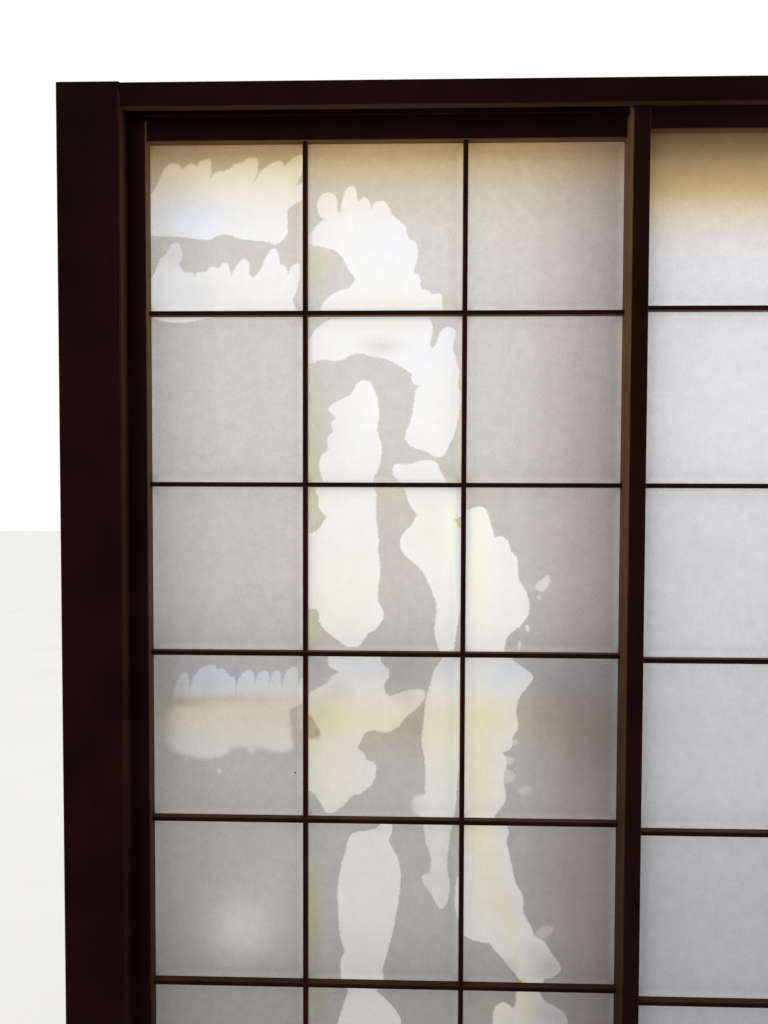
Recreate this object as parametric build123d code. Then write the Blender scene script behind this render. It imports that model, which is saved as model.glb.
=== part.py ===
"""Pair of paper-covered sliding screens in their timber frame.

Two posts carry a grooved head track and a grooved sill track. Two equal lattice
screens stand in the tracks, closed: one on the left in the rear groove and one
on the right in the front groove, overlapping by the width of one stile. Each
screen has two stiles, a top rail, a bottom rail, half-lapped lattice bars
and one sheet of paper glued on from behind.

Units are millimetres. The origin is at the middle of the foot of the frame. +Z is
up, +X runs to the right and -Y faces the room, where the lattice shows.
"""

import os

from build123d import *

# Opening between the posts and between the two tracks
opening_width = 1708.0
opening_height = 1864.0

# Posts
post_width = 105.0
post_depth = 105.0
post_chamfer = 2.0

# Head track, with deep grooves that the screens are lifted into
head_depth = 95.0
head_thickness = 40.0
head_setback = 4.0  # behind the posts' room face
head_groove_depth = 15.0

# Sill track, with shallow grooves that carry the screens
sill_thickness = 45.0
sill_groove_depth = 3.0

# Both tracks
front_lip = 15.5  # from the head's room face to its front groove
groove_width = 21.0
middle_strip = 12.0
track_chamfer = 1.0
track_tenon_length = 18.0
track_tenon_edge = 8.0  # wood left out above and below the tenon
track_tenon_side = 18.0  # wood left out in front of and behind the tenon

# Screen frame
stile_face = 28.0
stile_depth = 30.0
rail_setback = 9.0  # behind the stiles' room face
top_rail_show = 35.0  # below the head track
bottom_rail_show = 75.0  # above the sill track
member_chamfer = 1.0
tongue_thickness = 18.0
tongue_reach = 12.0  # into the head groove
head_shoulder_gap = 4.0  # shoulders stay this far below the head track
sill_shoulder_gap = 1.5  # and this far above the sill track
rail_tenon_length = 20.0
rail_tenon_thickness = 8.0
rail_tenon_edge = 7.0

# Lattice
columns = 3
rows = 6
bar_face = 8.0
bar_depth = 14.5
bar_chamfer = 0.7
bar_tenon_length = 8.0
bar_tenon_cheek = 2.0

# Paper
paper_thickness = 0.3
paper_recess = 2.5  # rebate depth in the back of the screen frame
paper_landing = 8.0  # width of the rebate on stiles and rails
paper_edge_gap = 0.5

# Clearances
joint_fit = 0.1  # between a tenon or half-lap and its cheeks
mortise_spare = 1.0  # beyond the end of a tenon
foot_gap = 0.3  # screen above the floor of its sill groove
closing_gap = 0.3  # closed screen to post

# Heights
sill_top = sill_thickness
head_underside = sill_top + opening_height
frame_height = head_underside + head_thickness
screen_foot = sill_top - sill_groove_depth + foot_gap
screen_top = head_underside + tongue_reach
lattice_bottom = sill_top + bottom_rail_show
lattice_top = head_underside - top_rail_show

# Depths, measured from the room
post_front = -post_depth / 2
head_front = post_front + head_setback
front_groove_y = head_front + front_lip + groove_width / 2
track_pitch = groove_width + middle_strip
rear_groove_y = front_groove_y + track_pitch

# Widths of a screen and of its lattice cells
screen_width = (opening_width + stile_face) / 2
lattice_width = screen_width - 2 * stile_face
cell_width = (lattice_width - (columns - 1) * bar_face) / columns
cell_height = (lattice_top - lattice_bottom - (rows - 1) * bar_face) / rows

# Depths inside a screen, measured from the room face of its stiles
paper_front = stile_depth - paper_recess
bar_front = paper_front - bar_depth
tongue_front = (stile_depth - tongue_thickness) / 2
tongue_back = tongue_front + tongue_thickness
rail_depth = stile_depth - rail_setback
rail_tenon_front = rail_setback + (rail_depth - rail_tenon_thickness) / 2


def block(x_span, y_span, z_span):
    """Box between two corners, given as one span for each direction."""
    size = [high - low for low, high in (x_span, y_span, z_span)]
    corner = [low for low, high in (x_span, y_span, z_span)]
    return Pos(*corner) * Box(*size, align=(Align.MIN, Align.MIN, Align.MIN))


def grown(span, margin):
    """Span opened up by the same margin at both ends."""
    return span[0] - margin, span[1] + margin


def section(first_span, second_span):
    """Rectangular outline between two corners, ready to be extruded."""
    corner = (first_span[0], second_span[0])
    size = (first_span[1] - first_span[0], second_span[1] - second_span[0])
    return Pos(*corner) * Rectangle(*size, align=(Align.MIN, Align.MIN))


def along_x(outline, x_span):
    """Extrude a Y-Z outline over a span of X."""
    return Pos(x_span[0], 0, 0) * extrude(Plane.YZ * outline, x_span[1] - x_span[0])


def along_z(outline, z_span):
    """Extrude an X-Y outline over a span of Z."""
    return Pos(0, 0, z_span[0]) * extrude(outline, z_span[1] - z_span[0])


# Frame

track_x_span = (-opening_width / 2, opening_width / 2)
head_y_span = (head_front, head_front + head_depth)
head_z_span = (head_underside, frame_height)
sill_y_span = (post_front, -post_front)
sill_z_span = (0, sill_top)


def track_tenons(y_span, z_span, fit=0.0, spare=0.0):
    """Stub tenons at both ends of a track, or their mortises when given a fit."""
    reach = track_tenon_length + spare
    y_tenon = grown(grown(y_span, -track_tenon_side), fit)
    z_tenon = grown(grown(z_span, -track_tenon_edge), fit)
    left, right = track_x_span
    return [
        block((left - reach, left), y_tenon, z_tenon),
        block((right, right + reach), y_tenon, z_tenon),
    ]


def groove_sections(z_span):
    """Outlines of the two sliding grooves between two heights."""
    half = groove_width / 2
    centres = (front_groove_y, rear_groove_y)
    return [section((centre - half, centre + half), z_span) for centre in centres]


def head_track():
    """Head beam: deep grooves in its underside, room and back arrises eased."""
    outline = section(head_y_span, head_z_span)
    lower_corners = outline.vertices().sort_by(Axis.Y)[:2]
    outline = chamfer(lower_corners, track_chamfer)
    grooves = groove_sections((head_underside, head_underside + head_groove_depth))
    beam = along_x(outline - grooves, track_x_span)
    return beam + track_tenons(head_y_span, head_z_span)


def sill_track():
    """Sill: shallow grooves in its upper face, room and back arrises eased."""
    outline = section(sill_y_span, sill_z_span)
    upper_corners = outline.vertices().sort_by(Axis.Y)[-2:]
    outline = chamfer(upper_corners, track_chamfer)
    grooves = groove_sections((sill_top - sill_groove_depth, sill_top))
    beam = along_x(outline - grooves, track_x_span)
    return beam + track_tenons(sill_y_span, sill_z_span)


def post(x_span):
    """Square post with eased corners, mortised for both tracks."""
    outline = section(x_span, (post_front, -post_front))
    outline = chamfer(outline.vertices(), post_chamfer)
    body = along_z(outline, (0, frame_height))
    mortises = track_tenons(head_y_span, head_z_span, joint_fit, mortise_spare)
    mortises += track_tenons(sill_y_span, sill_z_span, joint_fit, mortise_spare)
    return body - mortises


# Screen, built about its own middle, with the stiles' room face at Y = 0

lattice_x_span = (-lattice_width / 2, lattice_width / 2)
lattice_z_span = (lattice_bottom, lattice_top)
screen_z_span = (screen_foot, screen_top)
top_rail_z_span = (lattice_top, screen_top)
bottom_rail_z_span = (screen_foot, lattice_bottom)
bar_y_span = (bar_front, paper_front)


def upright_centres():
    """X of each upright lattice bar, from the left."""
    first = lattice_x_span[0] + cell_width + bar_face / 2
    return [first + index * (cell_width + bar_face) for index in range(columns - 1)]


def crossbar_centres():
    """Z of each crossbar, from the top."""
    first = lattice_top - cell_height - bar_face / 2
    return [first - index * (cell_height + bar_face) for index in range(rows - 1)]


def around(centre, width):
    """Span of a width about its centre."""
    return centre - width / 2, centre + width / 2


def paper_rebate():
    """Shallow recess in the back of stiles and rails, where the paper is glued."""
    return block(
        grown(lattice_x_span, paper_landing),
        (paper_front, stile_depth),
        grown(lattice_z_span, paper_landing),
    )


def tongue_waste(front):
    """Wood planed away in front of and behind the tongues, at head and foot."""
    x_span = (-screen_width / 2, screen_width / 2)
    head_z = (head_underside - head_shoulder_gap, screen_top)
    foot_z = (screen_foot, sill_top + sill_shoulder_gap)
    waste = []
    for z_span in (head_z, foot_z):
        waste.append(block(x_span, (tongue_back, stile_depth), z_span))
        if front < tongue_front:
            waste.append(block(x_span, (front, tongue_front), z_span))
    return waste


def rail_tenons(rail_z_span, fit=0.0, spare=0.0):
    """Tenons at both ends of a rail, or their mortises when given a fit."""
    reach = rail_tenon_length + spare
    tenon_y = (rail_tenon_front, rail_tenon_front + rail_tenon_thickness)
    z_low = max(rail_z_span[0], sill_top + sill_shoulder_gap) + rail_tenon_edge
    z_high = min(rail_z_span[1], head_underside - head_shoulder_gap) - rail_tenon_edge
    left, right = lattice_x_span
    y_span = grown(tenon_y, fit)
    z_span = grown((z_low, z_high), fit)
    return [
        block((left - reach, left), y_span, z_span),
        block((right, right + reach), y_span, z_span),
    ]


def crossbar_tenons(centre, fit=0.0, spare=0.0):
    """Stub tenons at both ends of a crossbar, or their mortises."""
    reach = bar_tenon_length + spare
    y_span = grown(grown(bar_y_span, -bar_tenon_cheek), fit)
    z_span = around(centre, bar_face - 2 * bar_tenon_cheek + 2 * fit)
    left, right = lattice_x_span
    return [
        block((left - reach, left), y_span, z_span),
        block((right, right + reach), y_span, z_span),
    ]


def upright_tenons(centre, fit=0.0, spare=0.0):
    """Stub tenons at both ends of an upright bar, or their mortises."""
    reach = bar_tenon_length + spare
    x_span = around(centre, bar_face - 2 * bar_tenon_cheek + 2 * fit)
    y_span = grown(grown(bar_y_span, -bar_tenon_cheek), fit)
    bottom, top = lattice_z_span
    return [
        block(x_span, y_span, (bottom - reach, bottom)),
        block(x_span, y_span, (top, top + reach)),
    ]


def stile(x_span):
    """Stile with eased room arrises, tongued ends, paper rebate and mortises."""
    outline = section(x_span, (0, stile_depth))
    outline = chamfer(outline.vertices().sort_by(Axis.Y)[:2], member_chamfer)
    waste = tongue_waste(0) + [paper_rebate()]
    waste += rail_tenons(top_rail_z_span, joint_fit, mortise_spare)
    waste += rail_tenons(bottom_rail_z_span, joint_fit, mortise_spare)
    for centre in crossbar_centres():
        waste += crossbar_tenons(centre, joint_fit, mortise_spare)
    return along_z(outline, screen_z_span) - waste


def rail(rail_z_span):
    """Rail with eased room arrises, tongue, paper rebate, tenons and mortises."""
    outline = section((rail_setback, stile_depth), rail_z_span)
    outline = chamfer(outline.vertices().sort_by(Axis.X)[:2], member_chamfer)
    waste = tongue_waste(rail_setback) + [paper_rebate()]
    for centre in upright_centres():
        waste += upright_tenons(centre, joint_fit, mortise_spare)
    body = along_x(outline, lattice_x_span) - waste
    return body + rail_tenons(rail_z_span)


def upright_bar(centre):
    """Upright lattice bar, notched to half its depth from the room side."""
    x_span = around(centre, bar_face)
    outline = section(x_span, bar_y_span)
    outline = chamfer(outline.vertices().sort_by(Axis.Y)[:2], bar_chamfer)
    bar = along_z(outline, lattice_z_span)
    notch_y = (bar_front, bar_front + bar_depth / 2)
    notches = [
        block(x_span, notch_y, around(height, bar_face + 2 * joint_fit))
        for height in crossbar_centres()
    ]
    return bar - notches + upright_tenons(centre)


def crossbar(centre):
    """Crossbar, notched to half its depth from behind to lie over the uprights."""
    z_span = around(centre, bar_face)
    outline = section(bar_y_span, z_span)
    outline = chamfer(outline.vertices().sort_by(Axis.X)[:2], bar_chamfer)
    bar = along_x(outline, lattice_x_span)
    notch_y = (bar_front + bar_depth / 2, paper_front)
    notches = [
        block(around(place, bar_face + 2 * joint_fit), notch_y, z_span)
        for place in upright_centres()
    ]
    return bar - notches + crossbar_tenons(centre)


def paper():
    """One sheet of paper, glued behind the bars and inside the rebate."""
    reach = paper_landing - paper_edge_gap
    return block(
        grown(lattice_x_span, reach),
        (paper_front, paper_front + paper_thickness),
        grown(lattice_z_span, reach),
    )


def screen_pieces():
    """Every piece of one screen by name."""
    left, right = -screen_width / 2, screen_width / 2
    pieces = {
        "left_stile": stile((left, left + stile_face)),
        "right_stile": stile((right - stile_face, right)),
        "top_rail": rail(top_rail_z_span),
        "bottom_rail": rail(bottom_rail_z_span),
        "paper": paper(),
    }
    for number, centre in enumerate(upright_centres(), start=1):
        pieces[f"upright_bar_{number}"] = upright_bar(centre)
    for number, centre in enumerate(crossbar_centres(), start=1):
        pieces[f"crossbar_{number}"] = crossbar(centre)
    return pieces


def assembly():
    """Every piece of the frame and of both screens, at its place when closed."""
    half = opening_width / 2
    pieces = {
        "left_post": post((-half - post_width, -half)),
        "right_post": post((half, half + post_width)),
        "head_track": head_track(),
        "sill_track": sill_track(),
    }
    screen_offset = half - screen_width / 2 - closing_gap
    places = {
        "rear_screen": Pos(-screen_offset, rear_groove_y - stile_depth / 2, 0),
        "front_screen": Pos(screen_offset, front_groove_y - stile_depth / 2, 0),
    }
    for screen_name, place in places.items():
        for piece_name, piece in screen_pieces().items():
            pieces[f"{screen_name}_{piece_name}"] = place * piece
    return pieces


os.makedirs("parts", exist_ok=True)
for node_name, solid in assembly().items():
    export_step(solid, f"parts/{node_name}.step")

travel = opening_width - screen_width - 2 * closing_gap
print(f"screen {screen_width:.1f} wide, cells {cell_width:.2f} x {cell_height:.2f}")
print(f"travel of each screen {travel:.1f}, frame {frame_height:.1f} high")
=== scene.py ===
"""Looks of a pair of papered sliding screens in their wooden frame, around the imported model."""

import math

import bpy
import numpy as np
from mathutils import Euler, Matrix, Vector
from mathutils.geometry import interpolate_bezier


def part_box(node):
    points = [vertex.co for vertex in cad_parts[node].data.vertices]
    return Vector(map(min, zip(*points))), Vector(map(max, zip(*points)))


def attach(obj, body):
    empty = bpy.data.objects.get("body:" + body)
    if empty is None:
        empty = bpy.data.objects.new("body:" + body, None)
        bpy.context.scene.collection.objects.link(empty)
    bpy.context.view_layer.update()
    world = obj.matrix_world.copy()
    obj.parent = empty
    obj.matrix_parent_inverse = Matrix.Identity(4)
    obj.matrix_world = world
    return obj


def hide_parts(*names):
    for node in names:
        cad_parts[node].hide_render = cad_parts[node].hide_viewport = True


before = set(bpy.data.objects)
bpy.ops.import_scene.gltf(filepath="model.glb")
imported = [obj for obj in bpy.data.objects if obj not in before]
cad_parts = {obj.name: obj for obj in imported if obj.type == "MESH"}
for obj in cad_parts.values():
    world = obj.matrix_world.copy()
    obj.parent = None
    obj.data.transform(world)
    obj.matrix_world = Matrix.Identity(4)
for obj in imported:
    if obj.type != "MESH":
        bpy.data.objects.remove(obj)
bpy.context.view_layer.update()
bpy.ops.object.select_all(action="DESELECT")

# Camera
# A camera at chest height, 1.4 m in front of the left screen, turned a little to the left and
# tipped a little down. Its focal length is given in pixels of the photograph.
photo_height = 1024
focal_length = 850
camera_data = bpy.data.cameras.new("camera")
camera_data.sensor_width = 36.0
camera_data.lens = camera_data.sensor_width * focal_length / photo_height
camera = bpy.data.objects.new("camera", camera_data)
camera.location = (-0.378, -1.4526, 1.2967)
camera.rotation_euler = Euler(map(math.radians, (87.939, -0.164, 1.656)))
bpy.context.scene.collection.objects.link(camera)
bpy.context.scene.camera = camera


# Posts
# Two squared posts of straight-grained softwood, stained a dark red-brown and rubbed down.
# They stand on the building's floor, and the head and the sill are housed into them.
def colour(red, green, blue):
    """A colour as it looks on a screen, 0 to 255, as the shader's own light values."""
    lights = []
    for value in (red, green, blue):
        share = value / 255
        lights.append(share / 12.92 if share < 0.04045 else ((share + 0.055) / 1.055) ** 2.4)
    return (*lights, 1.0)


class Socket:
    """A socket of a finish. Sums of sockets and numbers add the Math nodes that work them out."""

    def __init__(self, finish, link):
        self.finish = finish
        self.link = link

    def worked(self, operation, first, second=0.0):
        return self.finish.node("Math", {"operation": operation}, {0: first, 1: second})

    def __add__(self, other):
        return self.worked("ADD", self, other)

    def __sub__(self, other):
        return self.worked("SUBTRACT", self, other)

    def __rsub__(self, other):
        return self.worked("SUBTRACT", other, self)

    def __mul__(self, other):
        return self.worked("MULTIPLY", self, other)

    def __truediv__(self, other):
        return self.worked("DIVIDE", self, other)

    def __pow__(self, other):
        return self.worked("POWER", self, other)

    def __abs__(self):
        return self.worked("ABSOLUTE", self)

    __radd__ = __add__
    __rmul__ = __mul__


class Finish:
    """A material, and the nodes that lead to its Principled shader."""

    def __init__(self, name, **values):
        self.material = bpy.data.materials.new(name)
        self.material.use_nodes = True
        self.tree = self.material.node_tree
        self.shader = self.tree.nodes["Principled BSDF"]
        for socket, value in values.items():
            self.shader.inputs[socket.replace("_", " ")].default_value = value

    def node(self, kind, settings, inputs, output=0):
        """Adds a node of a kind, with its settings and the values or links of its sockets."""
        node = self.tree.nodes.new("ShaderNode" + kind)
        stops = settings.pop("stops", ())
        for setting, value in settings.items():
            setattr(node, setting, value)
        for number, (position, value) in enumerate(stops):
            if number < 2:
                node.color_ramp.elements[number].position = position
            else:
                node.color_ramp.elements.new(position)
            node.color_ramp.elements[number].color = value
        for socket, value in inputs.items():
            self.feed(node.inputs[socket], value)
        return Socket(self, node.outputs[output])

    def feed(self, socket, value):
        """Links a socket to another, or gives it a value."""
        if isinstance(value, Socket):
            self.tree.links.new(value.link, socket)
        else:
            socket.default_value = value


def blend(finish, amount, first, second, way="MIX"):
    """One colour laid over another, as thick as the amount."""
    settings = {"data_type": "RGBA", "blend_type": way}
    return finish.node("Mix", settings, {0: amount, 6: first, 7: second}, 2)


def ramp(finish, value, first, second):
    """0 where a value is at the first limit or past it, 1 where it is at the second or past it, and
    smooth between them."""
    if first > second:
        return 1.0 - ramp(finish, value, second, first)
    limits = {"Value": value, "From Min": first, "From Max": second}
    return finish.node("MapRange", {"interpolation_type": "SMOOTHSTEP"}, limits)


def coordinate(finish, place, axis):
    """How far a place lies along one axis, or how far a normal points along it."""
    return finish.node("SeparateXYZ", {}, {0: place}, axis)


def noise(finish, place, scale, detail, roughness=0.55):
    """Cloudy values about a half, finer with a larger scale and busier with more detail."""
    values = {"Vector": place, "Scale": scale, "Detail": detail, "Roughness": roughness}
    return finish.node("TexNoise", {}, values)


lying, upright = 0, 2  # the axis that a member's grain runs along
opening_sides = (0.905, 0.895)  # half widths between the posts' outer faces and their inner ones
opening_top = (1.935, 1.925)  # heights between the head's top and its underside


def painted_glow(finish, place, side, glow_depths):
    """How much painted glow, light off the paper painted on as a paler colour, a point gets: most of all
    high up on a side in the opening, none at the first of the two depths, and all of it at the second."""
    height = coordinate(finish, place, "Z")
    from_middle = abs(coordinate(finish, place, "X"))
    in_opening = ramp(finish, from_middle, *opening_sides) * ramp(finish, height, *opening_top)
    high_up = 0.25 + ramp(finish, height, 0.3, 2.0) * 0.75
    return side * in_opening * high_up * ramp(finish, coordinate(finish, place, "Y"), *glow_depths)


def timber(name, along, dark, light, wear_and_highlight, glow_lit, ring_gap, arris, glow_depths):
    """Stained softwood. Its rings lie ring_gap metres apart, its arrises are paler over a width of arris
    metres, partly wear and partly a painted highlight, and its sides in the opening carry a painted
    glow of light off the paper."""
    finish = Finish(name, Specular_IOR_Level=0.015)
    place = finish.node("TexCoord", {}, {}, "Object")
    depth = coordinate(finish, place, "Y")
    across_axis = "Z" if along == lying else "X"
    drawn_out = [1.0, 1.0, 1.0]
    drawn_out[along] = 0.03  # a grain about thirty times as long as it is wide
    grain = finish.node("VectorMath", {"operation": "MULTIPLY"}, {0: place, 1: drawn_out})

    # Growth rings that wander a little, each darkening towards its end into late wood.
    wander = noise(finish, grain, 35, 2) * 0.018 + noise(finish, place, 2.3, 1) * 0.03
    ring_place = (coordinate(finish, place, across_axis) + depth * depth * 2.0 + wander) / ring_gap
    ring = finish.node("Math", {"operation": "FRACT"}, {0: ring_place})
    late_wood = ring ** 2.5 * ramp(finish, ring, 1.0, 0.93)
    strength = ramp(finish, noise(finish, grain, 60, 1), 0.3, 0.65)
    # Fibres and pores along the grain, and patches where the stain took less.
    fibre = noise(finish, grain, 1100, 3, 0.65)
    pore = ramp(finish, noise(finish, grain, 2600, 1), 0.64, 0.74)
    stain = ramp(finish, noise(finish, place, 7, 3), 0.32, 0.7)

    pore_dark = colour(12, 5, 4)
    shown = blend(finish, stain, dark, light)
    shown = blend(finish, late_wood * strength * 0.5, shown, dark)
    shown = blend(finish, ramp(finish, fibre, 0.42, 0.7) * 0.3, shown, light)
    shown = blend(finish, pore * 0.5, shown, pore_dark)

    # Sides in the opening painted paler, a little unevenly: a painted glow of light off the paper.
    flat = finish.node("NewGeometry", {}, {}, "True Normal")
    side = ramp(finish, abs(coordinate(finish, flat, across_axis)), 0.6, 0.9)
    uneven = 0.85 + stain * 0.3 - fibre * 0.2
    shown = blend(finish, painted_glow(finish, place, side, glow_depths) * uneven, shown, glow_lit)

    # Arrises, where a rounded normal turns away from the flat one, paler here and there:
    # partly wear and partly a painted highlight.
    rounded = finish.node("Bevel", {"samples": 2}, {"Radius": arris}, "Normal")
    facing = finish.node("VectorMath", {"operation": "DOT_PRODUCT"}, {0: rounded, 1: flat}, "Value")
    wear_and_highlight_mask = ramp(finish, 1.0 - facing, 0.012, 0.16) * ramp(finish, noise(finish, place, 45, 3), 0.3, 0.6)
    shown = blend(finish, wear_and_highlight_mask * 0.75, shown, wear_and_highlight)
    finish.feed(finish.shader.inputs["Base Color"], shown)

    roughness = 0.44 + fibre * 0.16 + stain * 0.08 - wear_and_highlight_mask * 0.08
    finish.feed(finish.shader.inputs["Roughness"], roughness)
    relief = fibre * 0.5 + late_wood * strength * 0.35 - pore * 0.4
    surface = {"Strength": 0.5, "Distance": 0.0003, "Height": relief, "Normal": rounded}
    finish.feed(finish.shader.inputs["Normal"], finish.node("Bump", {}, surface, "Normal"))
    return finish.material


def give(names, material):
    """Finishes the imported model's own nodes of these names."""
    for name in names:
        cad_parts[name].material_slots[0].material = material


post_dark = colour(18, 5, 4)
post_light = colour(28, 9, 7)
# The arris colour is partly wear and partly a painted highlight.
post_wear_and_highlight = colour(70, 42, 25)
# The paler colour for the sides in the opening is light off the paper, painted on as a glow.
post_glow_lit = colour(70, 48, 34)
post_colours = (post_dark, post_light, post_wear_and_highlight, post_glow_lit)
front_only = (-0.01, -0.045)  # depths from a little before the middle to near the front
post_wood = timber("post_wood", upright, *post_colours, ring_gap=0.0042, arris=0.002, glow_depths=front_only)
give(["left_post", "right_post"], post_wood)

# Head and sill
# A grooved rail above and a grooved rail below, of the same stained softwood with its grain
# running along them. The screens' tongues slide in the grooves. The lips' arrises are paler,
# partly from wear and partly as a painted highlight.
track_wear_and_highlight = colour(84, 53, 32)
track_colours = (post_dark, post_light, track_wear_and_highlight, post_glow_lit)
track_wood = timber("track_wood", lying, *track_colours, ring_gap=0.0038, arris=0.0016, glow_depths=front_only)
give(["head_track", "sill_track"], track_wood)

# Stiles and rails of the screens
# Slender stiles and rails, tenoned together at the corners, planed clean and stained with the
# frame. The stiles' grain stands up and the rails' grain lies across.
screen_dark = colour(19, 7, 5)
screen_light = colour(30, 12, 9)
# The arris colour is partly wear and partly a painted highlight.
screen_wear_and_highlight = colour(84, 55, 34)
# The paler colour for the sides in the opening is light off the paper, painted on as a glow.
screen_glow_lit = colour(114, 86, 60)
screen_colours = (screen_dark, screen_light, screen_wear_and_highlight, screen_glow_lit)
all_through = (0.08, 0.045)  # depths that lie behind the screens
screen_grain = {"ring_gap": 0.0026, "arris": 0.0012, "glow_depths": all_through}
stile_wood = timber("stile_wood", upright, *screen_colours, **screen_grain)
rail_wood = timber("rail_wood", lying, *screen_colours, **screen_grain)
for screen in ("rear_screen", "front_screen"):
    give([f"{screen}_left_stile", f"{screen}_right_stile"], stile_wood)
    give([f"{screen}_top_rail", f"{screen}_bottom_rail"], rail_wood)

# Lattice bars
# Thin bars, halved over each other and stub-tenoned into the stiles and rails. They are as dark
# as the screens, with paler arrises, partly dusting and wear and partly a painted highlight.
bar_dark = colour(21, 8, 6)
bar_light = colour(34, 15, 10)
# The arris colour is partly wear and partly a painted highlight.
bar_wear_and_highlight = colour(84, 55, 32)
bar_colours = (bar_dark, bar_light, bar_wear_and_highlight, screen_glow_lit)
bar_grain = {"ring_gap": 0.0019, "arris": 0.0009, "glow_depths": all_through}
upright_wood = timber("upright_wood", upright, *bar_colours, **bar_grain)
crossbar_wood = timber("crossbar_wood", lying, *bar_colours, **bar_grain)
uprights, crossbars = 2, 5
for screen in ("rear_screen", "front_screen"):
    give([f"{screen}_upright_bar_{number + 1}" for number in range(uprights)], upright_wood)
    give([f"{screen}_crossbar_{number + 1}" for number in range(crossbars)], crossbar_wood)

# Paper of the rear screen
# One sheet of long-fibred white paper, pasted to the backs of the bars and a little slack between
# them. It has a brown painted shade at the top, painted light and shade over it, and pale marks.
# Its shape and marks are in millimetres from the lattice's top left corner, and its finish is in metres.
landing = 7.5
bar_face = 8.0
paper_low, paper_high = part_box("rear_screen_paper")
column_pitch = ((paper_high.x - paper_low.x) * 1000 - 2 * landing + bar_face) / (uprights + 1)
row_pitch = ((paper_high.z - paper_low.z) * 1000 - 2 * landing + bar_face) / (crossbars + 1)
lattice_left = paper_low.x + landing / 1000
lattice_top = paper_high.z - landing / 1000


def to_edge(x, z, outline):
    """How far each point lies outside an outline, and less than 0 inside it. Past a margin, where
    nothing depends on it, the distance is only given as far."""
    margin, far = 25, 500.0
    (left, top), (right, foot) = np.min(outline, axis=0) - margin, np.max(outline, axis=0) + margin
    near = (x > left) & (x < right) & (z > top) & (z < foot)
    distance = np.full(x.shape, far)
    x, z = x[near], z[near]
    gap = np.full(x.shape, far)
    inside = np.zeros(x.shape, bool)
    for (ax, az), (bx, bz) in zip(outline, outline[1:] + outline[:1]):
        length = (bx - ax) ** 2 + (bz - az) ** 2
        along = np.clip(((x - ax) * (bx - ax) + (z - az) * (bz - az)) / length, 0, 1)
        gap = np.minimum(gap, np.hypot(x - ax - along * (bx - ax), z - az - along * (bz - az)))
        if az != bz:
            inside ^= ((az > z) != (bz > z)) & (x < ax + (z - az) * (bx - ax) / (bz - az))
    distance[near] = np.where(inside, -gap, gap)
    return distance


def lobed(outline):
    """An outline drawn through the same points as round lobes with sharp notches between them,
    and with plain corners behind the bars and close to them."""
    points = [Vector(point) for point in outline]
    area = sum(first.cross(second) for first, second in zip(points, points[1:] + points[:1]))
    notch_turn = math.radians(40)
    bar_margin = 3
    points_a_side = 5

    def handle(before, point, after, side):
        """How far and which way the line leaves a point, or comes to it, along the given side."""
        into, out = point - before, after - point
        notch = into.cross(out) * area < 0 and into.angle(out) > notch_turn
        across, down = point.x % column_pitch, point.y % row_pitch
        in_column = across < column_pitch - bar_face - bar_margin
        in_row = bar_margin < down < row_pitch - bar_face - bar_margin
        smooth = in_column and in_row and not notch
        return (after - before if smooth else side).normalized() * side.length / 3

    drawn = []
    for index in range(len(points)):
        before, start, end, after = (points[(index + step) % len(points)] for step in (-1, 0, 1, 2))
        side = end - start
        leaving = start + handle(before, start, end, side)
        arriving = end - handle(start, end, after, side)
        curve = interpolate_bezier(start, leaving, arriving, end, points_a_side)
        drawn += [tuple(point) for point in curve[:-1]]
    return drawn


def halve(sheet, chosen):
    """Halves a sheet's chosen squares both ways."""
    bpy.ops.object.mode_set(mode="EDIT")
    bpy.ops.mesh.select_mode(type="FACE")
    bpy.ops.mesh.select_all(action="DESELECT")
    bpy.ops.object.mode_set(mode="OBJECT")
    sheet.data.polygons.foreach_set("select", chosen)
    bpy.ops.object.mode_set(mode="EDIT")
    bpy.ops.mesh.subdivide(number_cuts=1)
    bpy.ops.object.mode_set(mode="OBJECT")


def slackness(x, z, size):
    """How slack a sheet of a size is at each point: not at all on the bars, and rippled in a way of
    its own in each opening between them."""

    def in_pitches(place, length, pitch):
        """Counted from the middle of one edge's bar, and held at the middle of the other's."""
        half_bar = bar_face / 2
        return (np.clip(place, -half_bar, length - 2 * landing + half_bar) + half_bar) / pitch

    column = in_pitches(x, size.x, column_pitch)
    row = in_pitches(z, size.z, row_pitch)
    between = np.abs(np.sin(math.pi * column) * np.sin(math.pi * row))
    turn = np.floor(column) * 2.1 + np.floor(row) * 1.3
    ripple = np.sin(column * 9.0 + row * 14.0 + turn) * np.sin(column * 5.0 - row * 6.0 + turn * 2)
    return between * (1.0 + 0.8 * ripple)


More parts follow.
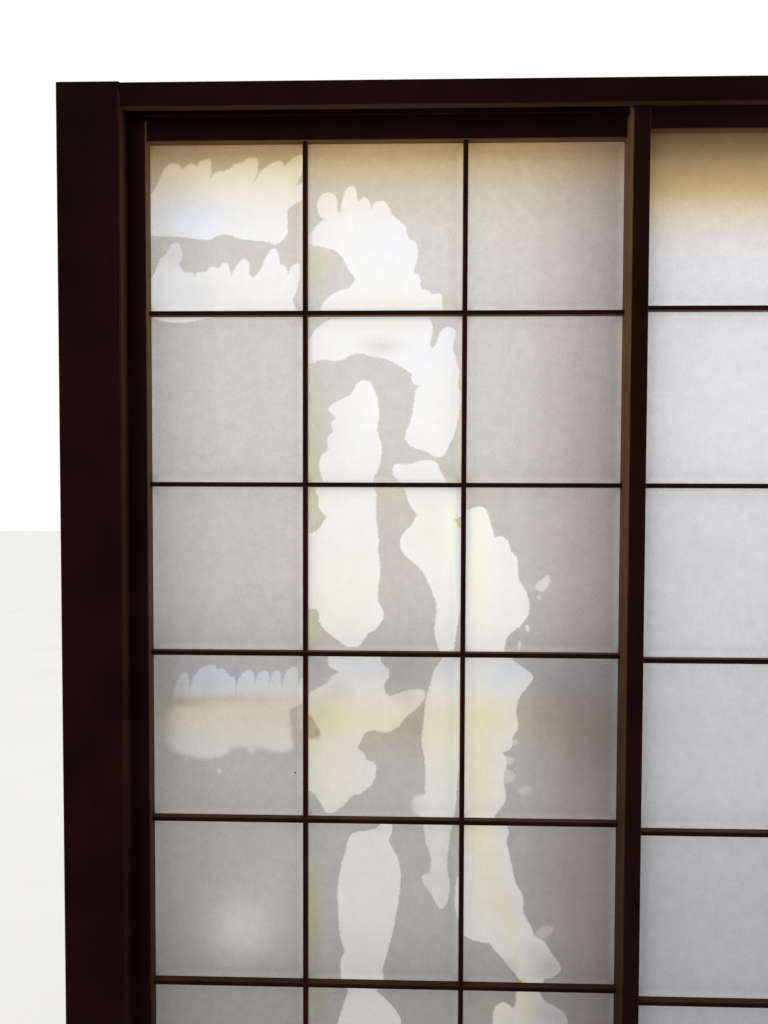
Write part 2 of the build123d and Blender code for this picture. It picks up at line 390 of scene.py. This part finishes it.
def slack_sheet(name, node, square, outlines=()):
    """A sheet in the place of a node, in squares of so many millimetres that are halved twice along
    the outlines, drawn back a little from flat between the bars. With it come the places of its
    points, across and down."""
    low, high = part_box(node)
    size = (high - low) * 1000
    bpy.ops.mesh.primitive_grid_add(
        x_subdivisions=round(size.x / square),
        y_subdivisions=round(size.z / square),
        size=1.0,
        location=((low.x + high.x) / 2, low.y, (low.z + high.z) / 2),
        rotation=(math.radians(90), 0, 0),
    )
    sheet = bpy.context.object
    sheet.name = name
    sheet.scale = (high.x - low.x, high.z - low.z, 1.0)
    bpy.ops.object.transform_apply(location=True, rotation=True, scale=True)

    def places(elements, value):
        """Points or middles of faces in metres, and how far across and down they lie."""
        points = np.empty(len(elements) * 3)
        elements.foreach_get(value, points)
        points = points.reshape(-1, 3)
        return points, (points[:, 0] - low.x) * 1000 - landing, (high.z - points[:, 2]) * 1000 - landing

    corner_share = 0.81  # from a square's middle, a little past its corners
    for halving in (1, 2) if outlines else ():
        reach = square * corner_share / halving
        _, x, z = places(sheet.data.polygons, "center")
        gap = np.min([np.abs(to_edge(x, z, outline)) for outline in outlines], axis=0)
        halve(sheet, gap < reach)
    bpy.ops.object.mode_set(mode="EDIT")
    bpy.ops.mesh.select_all(action="SELECT")
    bpy.ops.mesh.quads_convert_to_tris(quad_method="BEAUTY", ngon_method="BEAUTY")
    bpy.ops.object.mode_set(mode="OBJECT")

    slack = 0.4
    points, x, z = places(sheet.data.vertices, "co")
    points[:, 1] += slack / 1000 * slackness(x, z, size)
    sheet.data.vertices.foreach_set("co", points.ravel())

    modifier = sheet.modifiers.new("thickness", "SOLIDIFY")
    modifier.thickness = high.y - low.y
    modifier.offset = -1.0
    bpy.ops.object.modifier_apply(modifier=modifier.name)
    bpy.ops.object.shade_smooth_by_angle(angle=math.radians(30))
    sheet.select_set(False)
    return sheet, *places(sheet.data.vertices, "co")[1:]


def store(sheet, name, values):
    """Keeps one number for each point of a sheet, for its material to read."""
    attribute = sheet.data.attributes.new(name, "FLOAT", "POINT")
    attribute.data.foreach_set("value", values.astype(np.float32))


def kept(finish, name):
    """The numbers that a sheet keeps under a name."""
    return finish.node("Attribute", {"attribute_name": name}, {}, "Fac")


def dabs(x, z, spots):
    """Soft round dabs, each an x, a z, a half width, a half height and a strength."""
    total = np.zeros(x.shape)
    for across, down, width, height, strength in spots:
        total += strength * np.exp(-((x - across) / width) ** 2 - ((z - down) / height) ** 2)
    return total


def eased(value, stops):
    """Goes smoothly through stops of place and level."""
    places, levels = zip(*stops)
    step = np.clip(np.searchsorted(places, value) - 1, 0, len(places) - 2)
    places, levels = np.array(places), np.array(levels)
    share = np.clip((value - places[step]) / (places[step + 1] - places[step]), 0, 1)
    share = share * share * (3 - 2 * share)
    return levels[step] + (levels[step + 1] - levels[step]) * share


# Outlines of the pale marks, by the square that each starts in, and then how white the mark is.
marks = [
    # First column, top square
    ([(-8, 84), (3, 79), (14, 61), (23, 40), (37, 31), (50, 33), (54, 41), (60, 37), (71, 30), (79, 35),
      (89, 26), (104, 25), (105, 42), (103, 61), (106, 52), (117, 45), (133, 42), (146, 33), (162, 27),
      (171, 22), (186, 24), (186, 42), (179, 65), (190, 47), (204, 35), (226, 27), (232, 37), (244, 26),
      (256, 18), (272, 18), (272, 45), (263, 45), (254, 69), (262, 66), (272, 64), (272, 90), (257, 97),
      (237, 110), (237, 147), (230, 161), (217, 170), (206, 166), (188, 163), (162, 161), (133, 152),
      (115, 155), (99, 161), (51, 156), (-8, 153)], 1.2),
    ([(-8, 240), (6, 217), (15, 195), (25, 186), (33, 172), (44, 165), (51, 170), (54, 189), (48, 202),
      (57, 217), (71, 217), (76, 225), (82, 217), (96, 215), (106, 207), (117, 210), (130, 199), (137, 210),
      (139, 225), (147, 208), (162, 194), (171, 202), (170, 220), (178, 226), (190, 213), (197, 196),
      (209, 178), (219, 178), (224, 203), (235, 207), (237, 223), (246, 206), (257, 203), (259, 222),
      (252, 252), (246, 261), (255, 290), (112, 292), (87, 298), (63, 302), (28, 302), (6, 295),
      (-8, 290)], 1.2),
    # Second column, top square
    ([(293, 292), (298, 271), (317, 254), (330, 248), (341, 247), (356, 229), (345, 217), (338, 203),
      (322, 182), (300, 174), (283, 171), (268, 165), (268, 152), (279, 149), (289, 137), (300, 126),
      (291, 119), (289, 103), (294, 87), (308, 82), (321, 88), (324, 115), (329, 117), (333, 90), (341, 75),
      (353, 71), (357, 87), (359, 98), (371, 90), (379, 98), (381, 110), (391, 97), (405, 97), (413, 110),
      (416, 118), (441, 140), (444, 156), (460, 171), (461, 192), (455, 218), (464, 224), (468, 246),
      (481, 249), (486, 256), (500, 255), (504, 271), (503, 292)], 1.2),
    # Second column, second square
    ([(268, 333), (275, 331), (288, 313), (309, 300), (335, 296), (340, 288), (477, 288), (489, 313),
      (483, 340), (487, 348), (494, 340), (504, 316), (518, 311), (527, 319), (523, 347), (528, 365),
      (534, 391), (532, 411), (539, 429), (533, 467), (525, 498), (509, 530), (497, 535), (476, 525),
      (450, 515), (441, 501), (450, 475), (456, 442), (459, 420), (469, 412), (454, 407), (451, 390),
      (430, 377), (409, 366), (380, 361), (369, 357), (353, 357), (330, 368), (293, 368), (278, 374),
      (268, 374)], 1.2),
    ([(350, 423), (359, 406), (373, 402), (383, 410), (393, 434), (396, 466), (393, 489), (401, 517),
      (397, 550), (386, 576), (386, 590), (392, 601), (391, 630), (396, 680), (395, 694), (399, 734),
      (395, 785), (406, 809), (393, 834), (378, 844), (363, 864), (350, 867), (335, 863), (302, 837),
      (293, 825), (292, 809), (287, 801), (268, 799), (268, 669), (287, 664), (305, 639), (291, 623),
      (292, 610), (287, 591), (302, 580), (293, 559), (295, 535), (308, 522), (307, 501), (316, 492),
      (313, 476), (321, 467), (308, 451), (318, 442), (341, 430)], 1.2),
    ([(422, 550), (428, 547), (450, 547), (475, 540), (494, 543), (500, 553), (508, 569), (514, 580),
      (546, 588), (546, 600), (533, 607), (546, 611), (546, 634), (528, 642), (534, 657), (546, 664),
      (546, 790), (538, 796), (533, 830), (527, 876), (504, 876), (494, 844), (497, 792), (486, 762),
      (471, 732), (448, 712), (435, 694), (435, 673), (451, 655), (463, 635), (449, 617), (440, 591),
      (430, 576), (420, 564)], 1.2),
    # Third column, third square
    ([(540, 627), (550, 627), (566, 620), (581, 625), (592, 656), (597, 674), (611, 672), (622, 683),
      (626, 698), (636, 710), (640, 746), (656, 776), (657, 806), (642, 828), (621, 847), (614, 877),
      (540, 877)], 1.3),
    ([(668, 760), (680, 745), (693, 740), (683, 767)], 0.7),
    ([(671, 778), (675, 774), (679, 778), (675, 782)], 0.6),
    ([(652, 828), (656, 825), (659, 832), (656, 838), (652, 835)], 0.6),
    ([(639, 858), (643, 854), (645, 861), (641, 868)], 0.6),
    # First column, fourth square
    ([(35, 957), (39, 934), (49, 918), (59, 915), (63, 930), (64, 956), (67, 932), (71, 922), (85, 906),
      (109, 901), (110, 908), (124, 908), (134, 921), (142, 922), (145, 958), (149, 928), (163, 911),
      (176, 913), (178, 946), (182, 921), (188, 914), (202, 912), (205, 940), (209, 916), (221, 910),
      (225, 922), (227, 948), (231, 918), (237, 909), (251, 902), (255, 915), (257, 942), (261, 922),
      (272, 920), (272, 960), (258, 970), (238, 979), (241, 995), (243, 1020), (240, 1052), (182, 1047),
      (140, 1048), (126, 1060), (92, 1068), (54, 1061), (28, 1049), (15, 1020), (18, 995),
      (35, 972)], 0.6),
    ([(167, 1050), (170, 1044), (178, 1050), (174, 1056)], 0.6),
    ([(112, 1090), (115, 1087), (118, 1090), (115, 1093)], 0.6),
    # Second column, fourth square
    ([(400, 877), (401, 892), (416, 911), (407, 933), (409, 947), (416, 954), (436, 946), (466, 940),
      (478, 946), (471, 966), (444, 991), (429, 1009), (407, 1018), (389, 1014), (373, 1019), (359, 1046),
      (371, 1055), (376, 1067), (389, 1071), (393, 1082), (387, 1106), (368, 1125), (351, 1131),
      (330, 1153), (307, 1162), (297, 1148), (283, 1128), (268, 1121), (268, 1031), (291, 1029),
      (296, 1023), (281, 995), (268, 984), (268, 957), (284, 943), (306, 931), (316, 918), (327, 912),
      (309, 899), (308, 877)], 0.88),
    ([(507, 877), (507, 885), (493, 908), (489, 926), (480, 956), (475, 1001), (472, 1031), (479, 1074),
      (478, 1125), (460, 1132), (456, 1152), (468, 1165), (472, 1176), (530, 1176), (534, 1120),
      (538, 1079), (546, 1075), (546, 877)], 0.93),
    # Third column, fourth square
    ([(540, 877), (626, 877), (635, 891), (658, 907), (666, 919), (651, 940), (643, 952), (637, 977),
      (641, 1006), (632, 1022), (629, 1041), (613, 1052), (621, 1061), (617, 1104), (620, 1134),
      (603, 1161), (598, 1171), (540, 1171)], 1.0),
    ([(619, 1064), (626, 1056), (634, 1064), (626, 1072)], 0.4),
    ([(619, 1080), (636, 1090), (626, 1104), (617, 1102)], 0.4),
    ([(642, 1117), (654, 1109), (666, 1117), (654, 1125)], 0.3),
    ([(630, 1032), (635, 1027), (641, 1032), (635, 1038)], 0.4),
    # Second column, fifth square
    ([(402, 1176), (395, 1186), (377, 1192), (353, 1197), (344, 1208), (339, 1232), (332, 1252),
      (325, 1303), (330, 1387), (337, 1409), (330, 1427), (332, 1461), (344, 1481), (334, 1513),
      (325, 1550), (345, 1605), (372, 1618), (400, 1610), (425, 1585), (438, 1545), (432, 1520),
      (408, 1492), (393, 1481), (407, 1460), (406, 1440), (418, 1393), (427, 1353), (436, 1285),
      (433, 1247), (415, 1210), (421, 1190), (420, 1176)], 0.9),
    ([(475, 1176), (480, 1210), (490, 1240), (488, 1265), (473, 1275), (487, 1298), (502, 1325),
      (510, 1331), (519, 1318), (523, 1287), (518, 1250), (522, 1208), (527, 1176)], 0.68),
    ([(546, 1262), (536, 1273), (532, 1298), (534, 1337), (546, 1355)], 0.7),
    # Third column, fifth and lowest squares
    ([(545, 1171), (617, 1171), (626, 1192), (622, 1206), (629, 1237), (638, 1280), (652, 1307),
      (653, 1335), (665, 1357), (671, 1375), (687, 1384), (704, 1408), (719, 1433), (709, 1448),
      (691, 1452), (686, 1466), (655, 1466), (633, 1438), (602, 1402), (593, 1391), (568, 1387),
      (545, 1376)], 0.93),
    ([(672, 1378), (678, 1366), (692, 1358), (706, 1362), (698, 1374), (686, 1382)], 0.35),
    ([(644, 1472), (641, 1495), (636, 1508), (622, 1497), (607, 1502), (600, 1522), (604, 1550),
      (640, 1575), (660, 1590), (680, 1580), (725, 1550), (732, 1532), (722, 1510), (697, 1497),
      (683, 1480), (683, 1472)], 0.89),
]
# Dabs that make the marks whiter or weaker here and there, and dabs where their edges are soft.
whiter = [
    (45, 70, 45, 50, -0.34), (47, 182, 25, 30, -0.5), (85, 245, 50, 35, -0.25), (20, 180, 25, 110, -0.15),
    (305, 105, 20, 40, -0.15), (400, 344, 32, 14, -0.7), (318, 490, 24, 60, -0.22),
    (365, 605, 30, 30, 0.12), (530, 665, 22, 90, 0.45), (562, 700, 40, 110, 0.35), (655, 831, 8, 10, 0.3),
    (345, 850, 30, 20, -0.14), (505, 850, 20, 25, -0.15), (205, 990, 55, 30, -0.15),
    (50, 938, 20, 35, -0.45), (98, 932, 16, 28, -0.25), (165, 922, 14, 18, 0.12), (250, 918, 20, 15, 0.08),
    (60, 967, 60, 9, -0.65), (160, 960, 90, 11, -0.55), (15, 1005, 26, 50, -0.7),
    (322, 942, 28, 25, -0.42), (295, 990, 26, 40, -0.34), (450, 956, 25, 14, -0.4),
    (335, 1055, 35, 35, -0.07), (510, 900, 25, 25, -0.12), (510, 1040, 30, 40, 0.12),
    (466, 1148, 14, 22, -0.3), (585, 1195, 40, 30, 0.18), (370, 1405, 60, 50, -0.1),
    (700, 1435, 30, 30, -0.5), (670, 1402, 18, 16, -0.2), (628, 1430, 16, 14, -0.32),
    (712, 1525, 42, 40, -0.45), (680, 1508, 20, 16, -0.15), (505, 1205, 25, 30, 0.15),
]
softened = [
    (130, 1035, 160, 42, 8.0), (15, 1005, 30, 60, 10.0), (466, 1148, 16, 24, 7.0), (654, 1117, 20, 16, 5.0),
    (470, 950, 18, 14, 2.0), (690, 1370, 20, 14, 3.0), (130, 60, 150, 40, 1.2),
]
# Dabs of cream yellow and of tea brown, and dabs of a painted cool light.
yellowed = [
    (420, 275, 80, 14, 0.5), (283, 440, 14, 60, 0.5), (281, 550, 12, 50, 0.8), (281, 835, 12, 45, 0.7),
    (282, 610, 14, 45, 0.6), (282, 1340, 13, 110, 0.9), (534, 450, 8, 120, 0.6), (533, 650, 9, 60, 0.6),
    (564, 710, 28, 90, 0.5), (130, 985, 130, 34, 0.65), (420, 1000, 130, 42, 0.75), (310, 990, 40, 40, 0.6),
    (285, 1045, 14, 20, 0.5), (515, 1035, 30, 60, 0.45), (580, 985, 45, 30, 0.7), (570, 1070, 26, 90, 0.45),
    (600, 1030, 25, 40, 0.15), (670, 985, 40, 28, 0.5), (750, 1005, 70, 55, 0.6), (570, 1192, 32, 32, 0.7),
    (400, 300, 90, 8, 0.5), (592, 1240, 22, 35, 0.4), (612, 1320, 14, 28, 0.4), (590, 1300, 35, 50, 0.3),
    (588, 1118, 30, 36, 0.25), (630, 1362, 14, 22, 0.5), (640, 1410, 12, 25, 0.3), (340, 740, 70, 120, 0.3),
    (500, 640, 50, 90, 0.4), (565, 760, 40, 110, 0.25), (285, 210, 20, 35, 0.6), (320, 1095, 50, 60, 0.3),
    (655, 1500, 14, 40, 0.55), (615, 1520, 16, 20, 0.35), (415, 600, 30, 14, 0.5), (575, 1495, 22, 25, 0.35),
    (295, 1500, 18, 40, 0.35), (20, 985, 20, 30, 0.3),
]
tea_stained = [
    (276, 992, 7, 8, 0.9), (281, 1006, 6, 9, 0.8), (288, 1016, 7, 7, 1.0), (279, 1026, 9, 5, 0.9),
    (536, 603, 4, 6, 0.6), (536, 642, 5, 8, 0.5), (647, 1456, 14, 4, 1.0), (281, 1400, 8, 60, 0.3),
    (400, 297, 70, 4, 0.4),
]
painted_cool_light_dabs = [
    (70, 118, 60, 40, 1.0), (160, 125, 50, 30, 0.25), (95, 925, 60, 26, 1.0), (200, 922, 90, 20, 0.8),
    (370, 905, 65, 24, 0.9), (515, 903, 30, 24, 0.8), (625, 912, 45, 26, 1.0), (750, 915, 70, 35, 0.8),
    (460, 365, 45, 30, 0.3), (45, 245, 40, 30, 0.3), (515, 330, 20, 25, 0.4), (420, 165, 60, 40, 0.4),
    (625, 1205, 16, 30, 0.4), (650, 1320, 16, 60, 0.3), (695, 1425, 30, 35, 0.5), (705, 1525, 30, 35, 0.6),
]
# Dabs of painted light and painted shade over the whole sheet, the painted shade going down and
# going across, and how red it is going across.
painted_light_and_shade_dabs = [
    (155, 1375, 60, 60, 0.15), (210, 1280, 70, 90, 0.03), (400, 0, 110, 40, 0.1),
    (770, 1000, 90, 110, -0.07), (700, 950, 40, 60, -0.045), (700, 1260, 70, 110, -0.035),
    (440, 915, 50, 40, -0.065), (244, 668, 9, 9, 0.06), (236, 742, 8, 8, 0.05),
    (460, 1005, 40, 40, -0.055), (720, 480, 90, 110, -0.015), (680, 10, 90, 25, 0.04),
    (20, 930, 28, 70, -0.06), (150, 1080, 60, 25, 0.025), (280, 620, 14, 60, 0.05),
    (280, 835, 12, 30, 0.05), (415, 598, 30, 14, 0.06), (292, 905, 12, 14, -0.03),
]
painted_shade_down = [
    (150, 0.58), (440, 0.54), (730, 0.475), (870, 0.4), (900, 0.375), (1110, 0.355), (1300, 0.325),
    (1500, 0.25), (1750, 0.22),
]
painted_shade_across = [
    (-10, 0.7), (20, 0.75), (60, 0.82), (130, 0.925), (300, 1.0), (560, 1.02), (640, 0.94), (690, 0.82),
    (750, 0.66), (790, 0.585), (820, 0.5),
]
reddening_across = [(620, 0.0), (760, 1.0)]


def scaled(finish, shown, amount):
    """A colour made lighter or darker by an amount."""
    return finish.node("VectorMath", {"operation": "SCALE"}, {0: shown, "Scale": amount})


def stained(finish, shown, place, down, top_shade_colour, cloud):
    """The sheet's own colour with the pale marks, the stains, a painted cool light and one dark speck
    laid over it. With it comes how strong the marks are."""
    # Marks with ragged edges, cooler high up and creamier below, under nearly the same brown painted
    # shade as the sheet.
    ragged = (noise(finish, place, 190, 3, 0.6) - 0.5) * 6.0
    outside = (kept(finish, "pale_mark") + ragged) / kept(finish, "softness")
    mark = ramp(finish, outside, 1.0, -1.0)
    patchy = 0.92 + noise(finish, place, 14, 2, 0.5) * 0.16
    strength = mark * kept(finish, "whiteness") * patchy
    white_above = (0.27, 0.285, 0.31, 1)
    white_below = (0.28, 0.275, 0.26, 1)
    whitest = blend(finish, ramp(finish, down, 0.5, 0.95), white_above, white_below)
    added = scaled(finish, whitest, strength)
    top_shade_on_marks = blend(finish, 0.9, (1, 1, 1, 1), top_shade_colour)
    added = blend(finish, 1.0, added, top_shade_on_marks, "MULTIPLY")
    shown = finish.node("VectorMath", {"operation": "ADD"}, {0: shown, 1: added})

    # Stains that run into one another, a painted cool light among them, and tea-brown stains in streaks.
    casts = {
        "yellow": (1.01, 0.965, 0.66, 1), "cool": (0.86, 0.94, 1.09, 1), "redness": (1.03, 0.97, 0.98, 1),
    }
    for name, cast in casts.items():
        shown = blend(finish, kept(finish, name), shown, cast, "MULTIPLY")
    tea = (0.93, 0.77, 0.52, 1)
    streaks = ramp(finish, cloud, 0.38, 0.6) * 1.3
    shown = blend(finish, kept(finish, "tea") * streaks, shown, tea, "MULTIPLY")

    # One dark speck, soft at its edge.
    speck_across, speck_down = 250, 1091
    speck_place = (lattice_left + speck_across / 1000, paper_low.y, lattice_top - speck_down / 1000)
    speck_edge = (0.0024, 0.0012)
    speck_brown = (0.25, 0.12, 0.05, 1)
    distance = finish.node("VectorMath", {"operation": "DISTANCE"}, {0: place, 1: speck_place}, "Value")
    shown = blend(finish, ramp(finish, distance, *speck_edge), shown, speck_brown, "MULTIPLY")
    return shown, strength


def from_bars(finish, place, left):
    """How far a point is from the middle of the nearest bar of a lattice whose left edge is at
    left, going across or up, whichever is less."""

    def to_bar(axis, first, pitch):
        position = (coordinate(finish, place, axis) - first) / pitch + 0.5
        return abs(finish.node("Math", {"operation": "FRACT"}, {0: position}) - 0.5) * pitch

    half_bar = bar_face / 2 / 1000
    across = to_bar("X", left - half_bar, column_pitch / 1000)
    up = to_bar("Z", lattice_top + half_bar, row_pitch / 1000)
    return finish.node("Math", {"operation": "MINIMUM"}, {0: across, 1: up})


def washi(name, tint, left, marked, top_shade):
    """Long-fibred paper that lies on a lattice whose left edge is at left. Its top shade, a brown
    painted shade, is given as depths below the lattice's top, in metres, and the colour that the
    paper is multiplied by there."""
    finish = Finish(
        name, Roughness=0.9, Specular_IOR_Level=0.1, Subsurface_Weight=0.45,
        Subsurface_Radius=(1.0, 1.0, 1.0), Subsurface_Scale=0.002,
    )

    # The sheet's own tone, with painted light and shade over it and a brown painted shade from the top down.
    place = finish.node("TexCoord", {}, {}, "Object")
    down = lattice_top - coordinate(finish, place, "Z")
    top_shade_start, top_shade_length = -0.02, 0.32
    stops = [((depth - top_shade_start) / top_shade_length, (*share, 1.0)) for depth, share in top_shade]
    top_shade_colour = finish.node("ValToRGB", {"stops": stops}, {0: (down - top_shade_start) / top_shade_length})
    shown = blend(finish, 1.0, scaled(finish, tint, kept(finish, "lightness")), top_shade_colour, "MULTIPLY")

    # Cloudy pulp with long fibres in it, which shows less in the pale marks.
    cloud = noise(finish, place, 55, 3, 0.6)
    pulp = noise(finish, place, 420, 2, 0.6)
    strand = 1.0 - ramp(finish, abs(noise(finish, place, 240, 2, 0.6) - 0.5), 0.004, 0.02)
    long_strand = 1.0 - ramp(finish, abs(noise(finish, place, 90, 2, 0.6) - 0.5), 0.001, 0.006)
    texture = cloud * 0.24 + pulp * 0.36 + strand * 0.03 + long_strand * 0.035 - 0.315
    if marked:
        shown, strength = stained(finish, shown, place, down, top_shade_colour, cloud)
        texture = texture * (1.0 - strength * 0.5)

    # Painted light in front close to the bars, against their shadows, and darker where it is pasted to
    # them: partly paste, and partly a painted shadow of the bars seen through the sheet from behind.
    from_bar = from_bars(finish, place, left)
    flat = finish.node("NewGeometry", {}, {}, "True Normal")
    front = ramp(finish, coordinate(finish, flat, "Y"), -0.2, -0.8)
    painted_bar_light_reach = (0.021, 0.004)
    painted_bar_light = ramp(finish, from_bar, *painted_bar_light_reach) ** 1.3 * front
    shown = scaled(finish, shown, (1.0 + texture) * (1.0 + painted_bar_light * 0.4))
    lightest = (0.97, 0.97, 0.96)
    shown = finish.node("VectorMath", {"operation": "MINIMUM"}, {0: shown, 1: lightest})
    pasted_edge = (0.0038, 0.0028)
    paste_and_bar_shadow_colour = (0.62, 0.55, 0.48, 1)
    paste_and_bar_shadow = ramp(finish, from_bar, *pasted_edge)
    shown = blend(finish, paste_and_bar_shadow * 0.6, shown, paste_and_bar_shadow_colour, "MULTIPLY")
    finish.feed(finish.shader.inputs["Base Color"], shown)

    relief = pulp * 0.5 + strand * 0.5 + long_strand * 0.6
    surface = {"Strength": 0.35, "Distance": 0.00025, "Height": relief}
    finish.feed(finish.shader.inputs["Normal"], finish.node("Bump", {}, surface, "Normal"))
    return finish.material


outlines = [lobed(outline) for outline, _ in marks]
rear_paper, x, z = slack_sheet("rear_paper", "rear_screen_paper", square=10.0, outlines=outlines)
# This level is painted light and shade: darker going down and towards the sides, with dabs of both.
store(rear_paper, "lightness", eased(z, painted_shade_down) * eased(x, painted_shade_across) + dabs(x, z, painted_light_and_shade_dabs))
gaps = np.array([to_edge(x, z, outline) for outline in outlines])
whiteness = np.array([white for _, white in marks])[gaps.argmin(axis=0)]
store(rear_paper, "pale_mark", gaps.min(axis=0))
store(rear_paper, "whiteness", whiteness * (1.0 + dabs(x, z, whiter)))
least_softness = 1.7
store(rear_paper, "softness", least_softness + dabs(x, z, softened))
store(rear_paper, "redness", eased(x, reddening_across))
store(rear_paper, "yellow", dabs(x, z, yellowed))
store(rear_paper, "cool", dabs(x, z, painted_cool_light_dabs))
store(rear_paper, "tea", dabs(x, z, tea_stained))
rear_tint = (1.0, 0.955, 0.898)
# A brown painted shade, deepest at the lattice's top.
rear_top_shade = [
    (0.0, (0.5, 0.32, 0.13)), (0.015, (0.62, 0.43, 0.2)), (0.04, (0.83, 0.68, 0.41)),
    (0.08, (0.94, 0.86, 0.71)), (0.14, (1.0, 0.99, 0.96)), (0.22, (1.0, 1.0, 1.0)),
]
rear_finish = washi("marked_washi", rear_tint, lattice_left, marked=True, top_shade=rear_top_shade)
rear_paper.data.materials.append(rear_finish)
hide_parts("rear_screen_paper")
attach(rear_paper, "rear_screen")

# Paper of the front screen
# The same paper on the nearer screen, without marks. It has a deeper brown painted shade at the
# top, painted shade greying it towards the floor, and painted shade at its left and right edges.
front_paper, x, z = slack_sheet("front_paper", "front_screen_paper", square=9.0)
# Painted shade going down, and at the left and right edges beside the stiles.
front_painted_shade_down = [
    (0, 0.69), (450, 0.67), (736, 0.565), (1040, 0.465), (1325, 0.37), (1600, 0.31), (1750, 0.29),
]
front_painted_edge_shade = [(-10, 0.84), (60, 0.95), (140, 1.0), (680, 1.0), (820, 0.9)]
store(front_paper, "lightness", eased(z, front_painted_shade_down) * eased(x, front_painted_edge_shade))
front_tint = (0.96, 0.96, 1.02)
# A brown painted shade, deepest at the lattice's top.
front_top_shade = [
    (0.0, (0.13, 0.07, 0.025)), (0.03, (0.27, 0.163, 0.053)), (0.055, (0.46, 0.31, 0.12)),
    (0.09, (0.67, 0.48, 0.2)), (0.13, (0.92, 0.79, 0.54)), (0.2, (1.0, 1.0, 1.0)),
]
front_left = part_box("front_screen_paper")[0].x + landing / 1000
front_finish = washi("plain_washi", front_tint, front_left, marked=False, top_shade=front_top_shade)
front_paper.data.materials.append(front_finish)
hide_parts("front_screen_paper")
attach(front_paper, "front_screen")

# Studio
# A pale plaster floor, soft light from the whole room, and a large soft lamp high on the left.
bpy.context.scene.view_settings.view_transform = "Standard"
bpy.ops.mesh.primitive_plane_add(size=40.0, location=(0, 0, 0))
floor = bpy.context.object
floor.name = "floor"
plaster = Finish("plaster", Roughness=0.8, Specular_IOR_Level=0.2)
plaster_place = plaster.node("TexCoord", {}, {}, "Object")
plaster_cloud = noise(plaster, plaster_place, 3, 4, 0.5)
plaster_shown = blend(plaster, plaster_cloud, colour(236, 235, 232), colour(244, 243, 241))
plaster.feed(plaster.shader.inputs["Base Color"], plaster_shown)
floor.data.materials.append(plaster.material)

world = bpy.data.worlds.new("soft_room")
bpy.context.scene.world = world
world.use_nodes = True
background = world.node_tree.nodes["Background"]
background.inputs["Color"].default_value = (1.0, 1.0, 1.0, 1)
background.inputs["Strength"].default_value = 1.0

lamp_data = bpy.data.lights.new("soft_lamp", "AREA")
lamp_data.size = 2.5
lamp_data.energy = 28.0
lamp = bpy.data.objects.new("soft_lamp", lamp_data)
lamp.location = (-2.2, -3.4, 3.0)
lamp.rotation_euler = (Vector((0, 0, 1.1)) - lamp.location).to_track_quat("-Z", "Y").to_euler()
bpy.context.scene.collection.objects.link(lamp)
